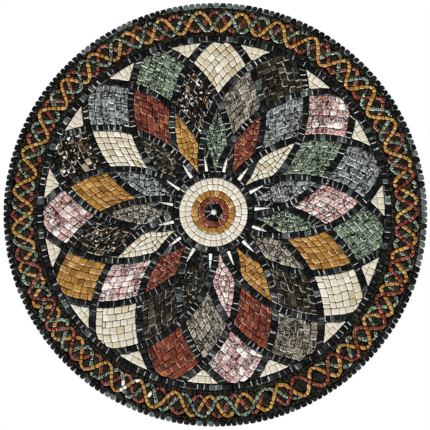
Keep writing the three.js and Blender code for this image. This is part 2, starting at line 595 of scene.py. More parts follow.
@dataclass
class Bench:
    """Where stones are cut and set: the depth of the bed and of the faces, in millimetres."""

    bed: float
    face: float
    materials: dict[Stone, bpy.types.Material] = field(default_factory=dict)

    def material(self, stone: Stone) -> bpy.types.Material:
        """The one material of a kind of stone, made when it is first asked for."""
        if stone not in self.materials:
            self.materials[stone] = FINISHES[stone].make(stone.value)
        return self.materials[stone]

    def carve(self, course: Course, rng: np.random.Generator) -> tuple[Array, Array, Array]:
        """The points, tones and bruises of the stones that fill some cells.

        Each stone has four levels of twelve points: a tapered foot on the bed, a shoulder, the edge of
        the face inside the chamfer, and the face inside its soft pillowed rim.

        Args:
            course: The cells, and how their stones are cut.
            rng: Source of the small irregularities.

        Returns:
            Points shaped (stones, 4, 12, 3) in metres, then a tone and the lightening of the four sides for
            each stone, partly bruising and partly painted highlight. Each side's share is drawn so that many
            stay whole and some are lightened all over.
        """
        cut = course.cut
        cells = turned_anticlockwise(course.cells)
        count = len(cells)
        gaps = np.clip(cut.joint / 2 + cut.joint_play * rng.uniform(-1, 1, (count, 4)), 0.08, None)
        radii = cut.corner + cut.corner_play * rng.uniform(-1, 1, (count, 4))
        if cut.outer_corner:
            far = np.linalg.norm(cells, axis=-1)
            is_outer = far > far.mean(axis=1, keepdims=True)
            radii = np.where(is_outer, cut.outer_corner, radii)
        outline = rounded(drawn_in(cells, gaps), radii)
        outline = outline + cut.wobble * rng.uniform(-1, 1, outline.shape)
        shoulder_depth = self.face - cut.lift_play - cut.crown
        lift = cut.lift_play * rng.uniform(-1, 1, (count, 1))
        slope = cut.tilt * rng.normal(0, 1, (count, 1, 2))
        rings = [shrunk(outline, cut.taper), outline]
        rings += [shrunk(outline, cut.chamfer), shrunk(outline, cut.chamfer + cut.pillow)]
        heights = (self.bed, shoulder_depth - cut.chamfer_drop, shoulder_depth, shoulder_depth + cut.crown)
        points = np.empty((count, LEVELS, 4 * CORNER_POINTS, 3))
        middle = outline.mean(axis=1, keepdims=True)
        for level, (ring, height) in enumerate(zip(rings, heights)):
            lean = lift + (slope * (ring - middle)).sum(axis=-1) if level else 0.0
            depth = np.clip(height + lean, self.bed, self.face)
            points[:, level, :, 0] = ring[..., 0]
            points[:, level, :, 1] = -depth
            points[:, level, :, 2] = ring[..., 1]
        tone = cut.tone_low + (cut.tone_high - cut.tone_low) * rng.uniform(0, 1, count) ** cut.tone_lean
        bruises_and_highlights = np.tile(cut.bruise_and_highlight, (count, 2)) * np.clip(rng.uniform(-0.7, 1.3, (count, 4)), 0.05, 1)
        return points / MM, np.clip(tone + course.lift, 0, 1), bruises_and_highlights

    def set_stones(self, name: str, courses: list[Course], stone: Stone, seed: int) -> bpy.types.Object:
        """One piece made of the stones of one or more courses.

        Args:
            name: Name of the piece.
            courses: The courses.
            stone: Kind of stone.
            seed: Seed of the irregularities.

        Returns:
            The piece.
        """
        rng = np.random.default_rng(seed)
        carved = [self.carve(course, rng) for course in courses]
        piece = stone_mesh(name, *(np.concatenate(parts) for parts in zip(*carved)), rng)
        piece.data.materials.append(self.material(stone))
        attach(piece, "root")
        log.info("%s: %d stones", name, sum(len(course.cells) for course in courses))
        return piece


def stone_mesh(
    name: str, points: Array, tones: Array, bruises_and_highlights: Array, rng: np.random.Generator
) -> bpy.types.Object:
    """A mesh of closed stones from their levels of points.

    Each stone has one many-sided foot, a band of quads between each two levels, and one face.

    Args:
        name: Name of the object and its mesh.
        points: Points, shaped (stones, levels, ring, 3), rings anticlockwise seen from the front.
        tones: Tone of each stone.
        bruises_and_highlights: Lightening of each side of each stone, partly bruising and partly painted
            highlight.
        rng: Source of each stone's pattern shift.

    Returns:
        The object.
    """
    count, levels, ring, _ = points.shape
    first = np.arange(count)[:, None, None] * levels * ring
    level = np.arange(levels - 1)[None, :, None] * ring
    around = np.arange(ring)[None, None, :]
    onward = (np.arange(ring)[None, None, :] + 1) % ring
    low, low_next = first + level + around, first + level + onward
    bands = np.stack([low, low_next, low_next + ring, low + ring], axis=-1).reshape(-1, 4)
    foot = (first[:, 0] + np.arange(ring)[::-1]).reshape(-1, ring)
    top = (first[:, 0] + (levels - 1) * ring + np.arange(ring)).reshape(-1, ring)
    loops = np.concatenate([bands.ravel(), foot.ravel(), top.ravel()])
    sizes = np.concatenate([np.full(len(bands), 4), np.full(2 * count, ring)])
    mesh = bpy.data.meshes.new(name)
    mesh.vertices.add(points.size // 3)
    mesh.vertices.foreach_set("co", points.astype(np.float32).ravel())
    mesh.loops.add(len(loops))
    mesh.loops.foreach_set("vertex_index", loops.astype(np.int32))
    mesh.polygons.add(len(sizes))
    mesh.polygons.foreach_set("loop_start", np.concatenate([[0], np.cumsum(sizes)[:-1]]).astype(np.int32))
    mesh.update(calc_edges=True)
    per_point = levels * ring
    tone = mesh.attributes.new("tone", "FLOAT", "POINT")
    tone.data.foreach_set("value", np.repeat(tones, per_point).astype(np.float32))
    before = np.roll(bruises_and_highlights, 1, axis=1)
    corner = np.stack([before, (before + bruises_and_highlights) / 2, bruises_and_highlights], axis=-1)
    bruise_and_highlight = np.array(LEVEL_BRUISE_AND_HIGHLIGHT)[None, :, None] * corner.reshape(count, 1, ring)
    # edge: how far each point is lightened, partly bruising and partly painted highlight
    edge = mesh.attributes.new("edge", "FLOAT", "POINT")
    edge.data.foreach_set("value", bruise_and_highlight.astype(np.float32).ravel())
    shifts = rng.uniform(-SHIFT_SPREAD, SHIFT_SPREAD, (count, 3))
    shift = mesh.attributes.new("shift", "FLOAT_VECTOR", "POINT")
    shift.data.foreach_set("vector", np.repeat(shifts, per_point, axis=0).astype(np.float32).ravel())
    piece = bpy.data.objects.new(name, mesh)
    bpy.context.scene.collection.objects.link(piece)
    return piece


# ------------------------------------------------------------------------------------------------ layout


def shares(length: float, pitch: float, play: float, rng: np.random.Generator, stagger: float = 0.0) -> Array:
    """Where the cross joints of a course fall.

    Args:
        length: Length of the course.
        pitch: Usual length of a stone with its joint.
        play: How much one stone's length may differ, as a share.
        rng: Source of the differences.
        stagger: Share of a stone that the two end stones lose between them, to break the joints.

    Returns:
        Rising shares of the length, from 0 to 1.
    """
    count = max(1, round(length / pitch))
    widths = 1 + play * rng.uniform(-1, 1, count)
    if stagger and count > 2:
        first = rng.uniform(0, 1)
        widths[[0, -1]] *= 1 - stagger * np.array([first, 1 - first])
    return np.concatenate([[0.0], np.cumsum(widths) / widths.sum()])


def between(low: Array, high: Array, share: Array) -> Array:
    """Points a share of the way from low to high."""
    return low + (high - low) * share


def strip(right: Array, left: Array) -> Array:
    """Cells of a course from the ends of its cross joints.

    Args:
        right: Points along one side, shaped (joints, 2).
        left: Points along the other side.

    Returns:
        Cells, one fewer than there are joints.
    """
    return np.stack([right[:-1], right[1:], left[1:], left[:-1]], axis=1)


@dataclass
class Layout:
    """The medallion's setting out.

    Two mirrored families of fifteen arcs cross every half pitch, at the crossing radii. Between the
    crossings the radius of an arc is a smooth cubic of the number of half pitches, called the step.
    """

    panel_radius: float
    repeats: int = 15
    crossings: tuple[float, ...] = (52.0, 130.2, 212.8, 284.3, 345.3)
    half_line: float = 6.1
    eye_shift: tuple[float, float] = (-3.2, 5.2)
    shift_power: float = 5.0
    turn_mean: float = math.radians(3.1)
    turn_swing: float = math.radians(1.5)
    turn_peak: float = math.radians(238)

    @property
    def half_pitch(self) -> float:
        """Angle between neighbouring crossings."""
        return math.pi / self.repeats

    def ring(self, radius: Array | float, bearing: Array | float) -> Array:
        """Points at a radius and bearing, with the centre drifting from the eye to the rim's own centre.

        Args:
            radius: Radii.
            bearing: Bearings.

        Returns:
            Points: shift * (1 - (radius / panel radius) ** power) + radius * (sin bearing, cos bearing).
        """
        radius, bearing = np.broadcast_arrays(np.asarray(radius, float), np.asarray(bearing, float))
        fade = 1 - (radius / self.panel_radius) ** self.shift_power
        x = self.eye_shift[0] * fade + radius * np.sin(bearing)
        z = self.eye_shift[1] * fade + radius * np.cos(bearing)
        return np.stack([x, z], axis=-1)

    def radius_of(self, points: Array) -> Array:
        """The radius in the layout of points of the plane.

        Args:
            points: Points, shaped (..., 2).

        Returns:
            The distance from the drifting centre, which three rounds of correction settle.
        """
        radius = np.linalg.norm(points, axis=-1)
        for _ in range(3):
            fade = 1 - (radius / self.panel_radius) ** self.shift_power
            radius = np.linalg.norm(points - np.array(self.eye_shift) * fade[..., None], axis=-1)
        return radius

    def lay_out(self, radius: Array | float, bearing: Array | float) -> Array:
        """Points of the rosette, turned by the drift of a pattern laid by hand.

        Args:
            radius: Radii.
            bearing: Bearings in the perfect layout.

        Returns:
            Points at bearing + mean + swing * cos(bearing - peak).
        """
        bearing = np.asarray(bearing, float)
        turn = self.turn_mean + self.turn_swing * np.cos(bearing - self.turn_peak)
        return self.ring(radius, bearing + turn)

    def arc_radius(self, step: Array | float) -> Array:
        """Radius of an arc at a step.

        Args:
            step: Half pitches from the first crossing, 0 to 4.

        Returns:
            The cubic Hermite curve through the crossings, with central differences as its slopes.
        """
        radii = np.array(self.crossings)
        slopes = np.gradient(radii)
        step = np.asarray(step, float)
        index = np.clip(np.floor(step).astype(int), 0, len(radii) - 2)
        t = step - index
        return (
            radii[index] * (2 * t**3 - 3 * t**2 + 1)
            + slopes[index] * (t**3 - 2 * t**2 + t)
            + radii[index + 1] * (3 * t**2 - 2 * t**3)
            + slopes[index + 1] * (t**3 - t**2)
        )

    def step_at(self, radius: Array | float) -> Array:
        """The step at which an arc reaches a radius, read off a fine table."""
        steps = np.linspace(0, len(self.crossings) - 1, 2001)
        return np.interp(radius, self.arc_radius(steps), steps)

    def lean(self, step: Array | float) -> Array:
        """The tangent of the angle between an arc and the radius: radius * pitch / climb."""
        nudge = 1e-3
        climb = (self.arc_radius(step + nudge) - self.arc_radius(step - nudge)) / (2 * nudge)
        return self.half_pitch * self.arc_radius(step) / climb

    def clearance_angle(self, step: Array | float, clearance: Array | float) -> Array:
        """The angle that a distance at right angles to an arc takes up.

        Args:
            step: Step along the arc.
            clearance: The distance.

        Returns:
            clearance * sqrt(1 + lean^2) / radius.
        """
        return clearance * np.hypot(1, self.lean(step)) / self.arc_radius(step)

    def skew(self, step: Array | float, half_width: float) -> Array:
        """How far ahead, in steps, one side of a course is at a joint square across it.

        Args:
            step: Step along the arc.
            half_width: Half the course's width.

        Returns:
            half width * sin(lean angle) / climb.
        """
        lean = self.lean(step)
        climb = self.half_pitch * self.arc_radius(step) / lean
        return half_width * lean / np.hypot(1, lean) / climb


@dataclass
class Cell:
    """One cell of the rosette, between the arcs, from its lower crossing to its upper one."""

    layout: Layout
    lower: int
    bearing: float
    ceiling: float = math.inf

    def half_angle(self, step: Array | float, inset: float = 0.0) -> Array:
        """Half the angle across the cell at a step of the arcs.

        Args:
            step: Step of the arcs, from lower to lower + 2.
            inset: Further distance kept from the black lines.

        Returns:
            half pitch * min(step - lower, lower + 2 - step) - clearance angle.
        """
        rise = np.minimum(step - self.lower, self.lower + 2 - step)
        clearance = self.layout.half_line + inset
        return self.layout.half_pitch * rise - self.layout.clearance_angle(step, clearance)

    def reach(self, inset: float = 0.0, floor: float = 0.0) -> tuple[float, float]:
        """The steps of the cell's foot and head.

        Args:
            inset: Further distance kept from the black lines.
            floor: Half width below which the tip is left out.

        Returns:
            First and last step at which half angle * radius is over the floor, under the ceiling.
        """
        top = min(self.lower + 1.999, float(self.layout.step_at(self.ceiling)))
        steps = np.linspace(max(self.lower, 0) + 0.001, top, 4001)
        width = self.half_angle(steps, inset) * self.layout.arc_radius(steps)
        inside = steps[width > floor]
        return float(inside[0]), float(inside[-1])

    def side(self, sign: float, step: Array | float, inset: float = 0.0) -> Array:
        """Points on one side of the cell.

        Args:
            sign: 1 for the side clockwise of the cell's middle, -1 for the other.
            step: Steps of the arcs.
            inset: Further distance kept from the black lines.

        Returns:
            The points.
        """
        step = np.asarray(step, float)
        angle = np.maximum(self.half_angle(step, inset), 0)
        return self.layout.lay_out(self.layout.arc_radius(step), self.bearing + sign * angle)


# ------------------------------------------------------------------------------------ the medallion's parts


@dataclass
class RingCourse:
    """One round course of stones between two radii."""

    inner: float
    outer: float
    count: int
    play: float = 0.16
    slant: float = 0.06

    def cells(self, layout: Layout, rng: np.random.Generator) -> Array:
        """The course's cells.

        Args:
            layout: The setting out.
            rng: Source of the differences between stones.

        Returns:
            Cells, shaped (count, 4, 2).
        """
        joints = 2 * math.pi * shares(self.count, 1.0, self.play, rng) + rng.uniform(0, 1)
        joints[-1] = joints[0] + 2 * math.pi
        lean = self.slant * rng.uniform(-1, 1, self.count + 1) * (2 * math.pi / self.count)
        lean[-1] = lean[0]
        return strip(layout.ring(self.inner, joints - lean), layout.ring(self.outer, joints + lean))


@dataclass
class Roundel:
    """The eye stone and the four rings round it."""

    layout: Layout
    eye: float
    black: float
    red: float
    gold: float
    cream: float
    cut: Cut = Cut(corner=1.2, joint=0.7, joint_play=0.25)
    pale_cut: Cut = Cut(corner=1.2, joint=0.6, joint_play=0.3, tone_low=0.55, tone_high=1.0)

    def build(self, bench: Bench) -> None:
        """Set the roundel's stones.

        Args:
            bench: Where stones are cut.
        """
        rng = np.random.default_rng(11)
        square = np.array([[-1, -1], [1, -1], [1, 1], [-1, 1]]) * self.eye * 0.94
        eye = self.layout.ring(0.0, 0.0) + square
        middle = (self.gold + self.cream) / 2
        dark = Cut(corner=0.8, joint=0.5, joint_play=0.15, tone_high=0.4)
        rings = {
            ("eye_stone", Stone.WHITE): [Course(eye[None], Cut(corner=4.0, corner_play=0.1, joint=0.4))],
            ("black_ring", Stone.BLACK): [Course(self.course(self.eye, self.black, 8, rng), dark)],
            ("red_ring", Stone.RED): [Course(self.course(self.black, self.red, 15, rng), self.cut)],
            ("gold_ring", Stone.GOLD): [Course(self.course(self.red, self.gold, 24, rng), self.cut)],
            ("cream_ring", Stone.CREAM): [
                Course(self.course(self.gold, middle, 29, rng), self.pale_cut),
                Course(self.course(middle, self.cream, 34, rng), self.pale_cut),
            ],
        }
        for seed, ((node, stone), courses) in enumerate(rings.items()):
            piece = bench.set_stones(f"{node}_stones" if node != "eye_stone" else "eye", courses, stone, seed)
            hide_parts(node)

    def course(self, inner: float, outer: float, count: int, rng: np.random.Generator) -> Array:
        """Cells of one ring."""
        return RingCourse(inner, outer, count).cells(self.layout, rng)


@dataclass
class BlackLattice:
    """The black course round the roundel, the crossing arcs and the border course."""

    layout: Layout
    roundel_radius: float
    core_radius: float
    rosette_radius: float
    border_radius: float
    pitch: float = 10.3
    settle: float = 2.5  # stones over which a course turns from a slanted end to square joints
    cut: Cut = Cut(chamfer=0.75, joint=0.8, bruise_and_highlight=(0.45, 1.0))

    def build(self, bench: Bench) -> None:
        """Set the lattice's stones.

        Args:
            bench: Where stones are cut.
        """
        rng = np.random.default_rng(23)
        core = RingCourse(self.roundel_radius, self.core_radius, 43).cells(self.layout, rng)
        border = RingCourse(self.rosette_radius, self.border_radius, 183).cells(self.layout, rng)
        arcs = np.concatenate(list(self.links(rng)))
        courses = [Course(cells, self.cut) for cells in (core, arcs, border)]
        piece = bench.set_stones("black_lattice_stones", courses, Stone.BLACK, 31)
        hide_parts("black_lattice")

    def links(self, rng: np.random.Generator) -> Iterator[Array]:
        """Cells of every stretch of every arc, from one crossing to the next.

        Args:
            rng: Chooses which arc runs through each crossing, and varies the stones.

        Yields:
            The cells of one stretch.
        """
        repeats = self.layout.repeats
        through = rng.choice([-1, 1], (len(self.layout.crossings), 2 * repeats))
        for hand in (1, -1):
            for arc in range(repeats):
                for link in range(len(self.layout.crossings) - 1):
                    slot = (2 * arc + hand * link) % (2 * repeats)
                    next_slot = (slot + hand) % (2 * repeats)
                    runs = (through[link, slot] == hand, through[link + 1, next_slot] == hand)
                    yield self.link(2 * self.layout.half_pitch * arc, hand, link, runs, rng)

    def link(
        self, base: float, hand: int, link: int, runs: tuple[bool, bool], rng: np.random.Generator
    ) -> Array:
        """Cells of one stretch of an arc.

        The trailing side of the course is the one nearer to the bearing that the arc starts from. At a
        crossing, an arc that runs through ends in a square joint at the crossing's middle. The other
        arc's stones butt against it, from the side corner of one cell to the tip of the next.

        Args:
            base: Bearing that the arc starts from.
            hand: 1 for an arc that climbs clockwise, -1 for its mirror.
            link: Index of the lower crossing.
            runs: Whether this arc runs through at the lower and at the upper crossing.
            rng: Varies the stones.

        Returns:
            The cells.
        """
        layout = self.layout
        if link:
            foot = Cell(layout, link, 0.0).reach()[0]
            ends = [self.square_end(link)] if runs[0] else [(foot, float(link))]
        else:
            start = float(layout.step_at(self.core_radius))
            ends = [(start, start)]
        if link + 1 < len(layout.crossings) - 1:
            head = Cell(layout, link - 1, 0.0).reach()[1]
            ends += [self.square_end(link + 1)] if runs[1] else [(float(link + 1), head)]
        else:
            stop = float(layout.step_at(self.rosette_radius))
            ends += [(stop, stop)]
        (trail_low, lead_low), (trail_high, lead_high) = ends
        middle_low, middle_high = (trail_low + lead_low) / 2, (trail_high + lead_high) / 2
        rise = layout.arc_radius(middle_high) - layout.arc_radius(middle_low)
        length = rise * math.hypot(1, float(layout.lean((middle_low + middle_high) / 2)))
        joints = shares(length, self.pitch, 0.14, rng)
        count = len(joints) - 1
        steps = between(middle_low, middle_high, joints)
        square = layout.skew(steps, layout.half_line) * (1 + 0.25 * rng.uniform(-1, 1, count + 1))
        near_low = np.clip(1 - joints * count / self.settle, 0, 1)
        near_high = np.clip(1 - (1 - joints) * count / self.settle, 0, 1)
        skew = square + ((trail_low - lead_low) / 2 - square) * near_low
        skew = skew + ((trail_high - lead_high) / 2 - skew) * near_high
        return strip(
            self.side(base, hand, -1, np.clip(steps + skew, 0, 3.99)),
            self.side(base, hand, 1, np.clip(steps - skew, 0, 3.99)),
        )

    def square_end(self, crossing: int) -> tuple[float, float]:
        """Steps of the two sides at a square joint through a crossing: trailing, then leading."""
        skew = float(self.layout.skew(float(crossing), self.layout.half_line))
        return crossing + skew, crossing - skew

    def side(self, base: float, hand: int, sign: int, steps: Array) -> Array:
        """Points on one side of an arc's course.

        Args:
            base: Bearing that the arc starts from.
            hand: 1 or -1, as for link.
            sign: -1 for the trailing side, 1 for the leading one.
            steps: Steps along the arc.

        Returns:
            Points at base + hand * (pitch * step + sign * clearance angle), with the trailing side
            never past the base.
        """
        layout = self.layout
        turn = layout.half_pitch * steps + sign * layout.clearance_angle(steps, layout.half_line)
        return layout.lay_out(layout.arc_radius(steps), base + hand * np.maximum(turn, 0))


@dataclass
class Fields:
    """The petals, diamonds and kites, and the white rays and triangles."""

    layout: Layout
    core_radius: float
    rosette_radius: float
    pitch: float = 11.8
    petal_pitch: float = 9.9
    petal_course: float = 9.3
    tip_inset: float = -0.6  # how far a petal's foot spreads into the black lines
    ray_inset: float = 1.6  # how far the black lines close in on a ray's foot
    triangle_inset: float = 1.2
    forward_share: float = 0.88  # share of the grids whose courses climb clockwise
    hem_share: float = 0.55  # share of the grids with one course set across the others' ends
    least_area: float = 18.0  # square millimetres under which a cut stone is left out
    cut: Cut = Cut()
    rough_cut: Cut = Cut(joint=0.9, joint_play=0.4, lift_play=0.4, tilt=0.035, corner=1.8, chamfer=0.75)

    def build(self, bench: Bench) -> None:
        """Set every field's stones.

        Args:
            bench: Where stones are cut.
        """
        slots = {entry["node"]: entry["material_slot"] for entry in frame["record"]["subparts"]}
        families = {"petal": (0, self.petal), "diamond": (1, self.grid), "kite": (2, self.grid)}
        for seed, (family, (lower, cut_up)) in enumerate(families.items()):
            for repeat in range(self.layout.repeats):
                node = f"{family}_{repeat + 1:02d}"
                bearing = self.layout.half_pitch * (2 * repeat + lower % 2)
                cell = Cell(self.layout, lower, bearing, self.rosette_radius)
                stone = Stone(slots[node])
                rng = np.random.default_rng(1000 * (seed + 1) + repeat)
                cut = self.cut if stone in (Stone.CREAM, Stone.GOLD, Stone.RED) else self.rough_cut
                courses = [Course(cut_up(cell, rng), cut)]
                piece = bench.set_stones(f"{node}_stones", courses, stone, repeat + 50 * seed)
                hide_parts(node)
        self.white_stones(bench)

    def white_stones(self, bench: Bench) -> None:
        """Set the rays between the petals' feet and the triangles between the kites' heads."""
        rng = np.random.default_rng(77)
        rays, triangles = [], []
        for repeat in range(self.layout.repeats):
            bearing = self.layout.half_pitch * (2 * repeat + 1)
            rays.append(self.ray(Cell(self.layout, -1, bearing), rng))
            triangles.append(self.triangle(Cell(self.layout, 3, bearing, self.rosette_radius - 1.4), rng))
        sliver = Cut(
            joint=0.5, joint_play=0.25, corner=0.8, corner_play=0.3, pillow=1.0, wobble=0.15, tone_low=0.8
        )
        plain = Cut(joint=0.5, joint_play=0.25, corner=0.9, corner_play=0.3, tone_low=0.3, tone_high=0.9)
        bench.set_stones("white_rays", [Course(np.concatenate(rays), sliver)], Stone.WHITE, 5)
        bench.set_stones("cream_triangles", [Course(np.concatenate(triangles), plain)], Stone.CREAM, 6)

    def ray(self, cell: Cell, rng: np.random.Generator) -> Array:
        """Cells of one ray: a long sliver in one to three stones.

        Args:
            cell: The cell below the first crossing between two petals.
            rng: Varies the ray.

        Returns:
            The cells.
        """
        foot = float(self.layout.step_at(self.core_radius + rng.uniform(1.2, 2.6)))
        head = cell.reach(floor=0.3)[1]
        joints = shares(rng.choice([1, 2, 3], p=[0.3, 0.4, 0.3]), 1.0, 0.35, rng)
        steps = between(foot, head, joints)
        inset = self.ray_inset * (1 - joints) - 0.3 + 0.25 * rng.uniform(-1, 1, (2, len(joints)))
        return strip(cell.side(1, steps, inset[0]), cell.side(-1, steps, inset[1]))

    def triangle(self, cell: Cell, rng: np.random.Generator) -> Array:
        """Cells of one triangle: a row along the border course and a short one towards the tip.

        Args:
            cell: The cell above the crossing between two kites.
            rng: Varies the rows.

        Returns:
            The cells.
        """
        inset = self.triangle_inset
        layout = self.layout
        foot, head = cell.reach(inset=inset, floor=1.6)
        rows = between(foot, head, np.array([0.0, rng.uniform(0.42, 0.52), 1.0]))
        cells = []
        for low, high in zip(rows[:-1], rows[1:]):
            half_low, half_high = (float(cell.half_angle(step, inset)) for step in (low, high))
            joints = shares(2 * half_high * layout.arc_radius(high), 11.5, 0.15, rng)
            turns = half_high * (2 * joints - 1)
            share_low = np.clip(turns / half_low, -1, 1) if cells else 2 * joints - 1
            bottom = layout.lay_out(layout.arc_radius(low), cell.bearing + half_low * share_low)
            top = layout.lay_out(layout.arc_radius(high), cell.bearing + turns)
            cells.append(strip(bottom, top))
        return np.concatenate(cells)

    def grid(self, cell: Cell, rng: np.random.Generator) -> Array:
        """Cells of a diamond or a kite, in courses along one pair of its sides.

        The cross joints are broken from course to course, and in some fields one more course, the hem,
        closes the others' ends.

        A point a share u along the rows and v across them lies on the surface blended between the four
        sides: (1 - v) bottom(u) + v top(u) + (1 - u) left(v) + u right(v), less the same blend of the
        four corners.

        Args:
            cell: The cell of the rosette.
            rng: Chooses the rows' direction and varies the stones.

        Returns:
            The cells.
        """
        foot, head = Cell(cell.layout, cell.lower, cell.bearing).reach()
        waist = cell.lower + 1.0
        hand = 1 if rng.random() < self.forward_share else -1
        length = float(np.linalg.norm(cell.side(hand, waist) - cell.side(hand, foot)))
        rows = shares(length, self.pitch, 0.1, rng)
        stop = 1 - 1 / (len(rows) - 1) if rng.random() < self.hem_share else 1.0
        bend = 0.014 * rng.uniform(-1, 1, len(rows))
        bend[[0, -1]] = 0
        cells = []
        for index in range(len(rows) - 1):
            joints = stop * shares(stop * length, self.pitch, 0.18, rng, stagger=0.55)
            slant = np.zeros(len(joints))
            slant[1:-1] = 0.012 * rng.uniform(-1, 1, len(joints) - 2)
            corners = []
            for edge, lean in ((index, -slant), (index + 1, slant)):
                across = rows[edge] + bend[edge] * np.sin(math.pi * joints)
                corners.append(self.blend(cell, hand, foot, head, joints + lean, across))
            cells.append(strip(*corners))
        if stop < 1:
            joints = shares(length, self.pitch, 0.18, rng, stagger=0.55)
            corners = [
                self.blend(cell, hand, foot, head, np.full_like(joints, u), joints) for u in (1.0, stop)
            ]
            cells.append(strip(*corners))
        return self.cut_off(np.concatenate(cells), cell.ceiling)

    def cut_off(self, cells: Array, ceiling: float) -> Array:
        """Cells cut off where they pass a radius.

        A side is cut at the share of its length where its radius reaches the ceiling. A corner beyond it
        moves to the cut on its one side that comes back inside, or to the middle between two such cuts,
        and cells with no corner or too little room inside are left out.

        Args:
            cells: Corners, shaped (cells, 4, 2).
            ceiling: The radius.

        Returns:
            The cells that are left.
        """
        radius = self.layout.radius_of(cells)
        room = ceiling - radius
        onward = np.roll(room, -1, axis=1)
        share = np.clip(room / np.where(room == onward, 1.0, room - onward), 0, 1)[..., None]
        cuts = cells + (np.roll(cells, -1, axis=1) - cells) * share
        cuts_before = np.roll(cuts, 1, axis=1)
        is_out = room < 0
        in_ahead = ~np.roll(is_out, -1, axis=1)[..., None]
        in_behind = ~np.roll(is_out, 1, axis=1)[..., None]
        nearer = np.where(in_ahead, cuts, cuts_before)
        moved = np.where(in_ahead & in_behind, (cuts + cuts_before) / 2, nearer)
        stuck = is_out & ~in_ahead[..., 0] & ~in_behind[..., 0]
        neighbours = (np.roll(moved, 1, axis=1) + np.roll(moved, -1, axis=1)) / 2
        moved = np.where(stuck[..., None], neighbours, moved)
        trimmed = np.where(is_out[..., None], moved, cells)
        diagonals = trimmed[:, 2:] - trimmed[:, :2]
        area = np.abs(diagonals[:, 0, 0] * diagonals[:, 1, 1] - diagonals[:, 0, 1] * diagonals[:, 1, 0]) / 2
        return trimmed[~is_out.all(axis=1) & (area > self.least_area)]

    def blend(self, cell: Cell, hand: int, foot: float, head: float, u: Array, v: Array) -> Array:
        """Points of the surface blended between a cell's four sides, as grid describes it.

        Args:
            cell: The cell.
            hand: Side that the rows start along: 1 clockwise, -1 anticlockwise.
            foot: Step of the lower tip.
            head: Step of the upper tip.
            u: Shares along the rows.
            v: Shares across the rows.

        Returns:
            The points.
        """
        waist = cell.lower + 1.0
        u_column, v_column = u[:, None], v[:, None]
        bottom = cell.side(hand, between(foot, waist, u))
        top = cell.side(-hand, between(waist, head, u))
        left = cell.side(-hand, between(foot, waist, v))
        right = cell.side(hand, between(waist, head, v))
        tip_low, tip_high = cell.side(hand, foot), (cell.side(hand, head) + cell.side(-hand, head)) / 2
        corner_right, corner_left = cell.side(hand, waist), cell.side(-hand, waist)
        corners = (
            tip_low * (1 - u_column) * (1 - v_column)
            + corner_right * u_column * (1 - v_column)
            + corner_left * (1 - u_column) * v_column
            + tip_high * u_column * v_column
        )
        sides = (1 - v_column) * bottom + v_column * top + (1 - u_column) * left + u_column * right
        return sides - corners

    def petal(self, cell: Cell, rng: np.random.Generator) -> Array:
        """Cells of a petal: a course along each side, a filling between them, and a stone at each tip.

        Args:
            cell: The cell of the rosette.
            rng: Varies the stones.

        Returns:
            The cells.
        """
        course = self.petal_course
        foot, head = cell.reach(inset=self.tip_inset, floor=0.25)
        low, high = cell.reach(floor=0.55 * course)
        cells = [self.tip(cell, foot, low), self.tip(cell, head, high)]
        for sign in (1, -1):
            steps = between(low, high, shares((high - low) * 80, self.petal_pitch, 0.18, rng))
            square = 0.05 * np.clip((cell.lower + 1 - steps) / 0.4, -1, 1)
            square[[0, -1]] = 0
            cells.append(strip(cell.side(sign, steps), cell.side(sign, steps + square, course)))
        start, stop = cell.reach(inset=course, floor=0.9)
        steps = between(start, stop, shares((stop - start) * 78, self.petal_pitch, 0.2, rng))
        right, left = cell.side(1, steps, course), cell.side(-1, steps, course)
        for row in range(len(steps) - 1):
            width = float(np.linalg.norm(right[row] + right[row + 1] - left[row] - left[row + 1])) / 2
            across = shares(width, 0.8 * self.petal_pitch, 0.25, rng)[:, None]
            low_side = between(right[row], left[row], across)
            high_side = between(right[row + 1], left[row + 1], across)
            cells.append(strip(low_side, high_side))
        return np.concatenate(cells)

    def tip(self, cell: Cell, point: float, base: float) -> Array:
        """Cells of one pointed end, one stone wide.

        Args:
            cell: The cell of the rosette.
            point: Step at the point.
            base: Step at the wide end.

        Returns:
            The cells.
        """
        rise = abs(float(self.layout.arc_radius(base) - self.layout.arc_radius(point)))
        joints = np.linspace(0, 1, max(1, round(rise / 15)) + 1)
        steps = between(point, base, joints)
        inset = self.tip_inset * (1 - joints)
        return strip(cell.side(1, steps, inset), cell.side(-1, steps, inset))


class Strand(Enum):
    """The strands of the braid, in clockwise order of their crests."""

    GOLD = 0
    RED = 1
    GREEN = 2


STRAND_STONES = {Strand.GOLD: Stone.GOLD, Strand.RED: Stone.RED, Strand.GREEN: Stone.GREEN}


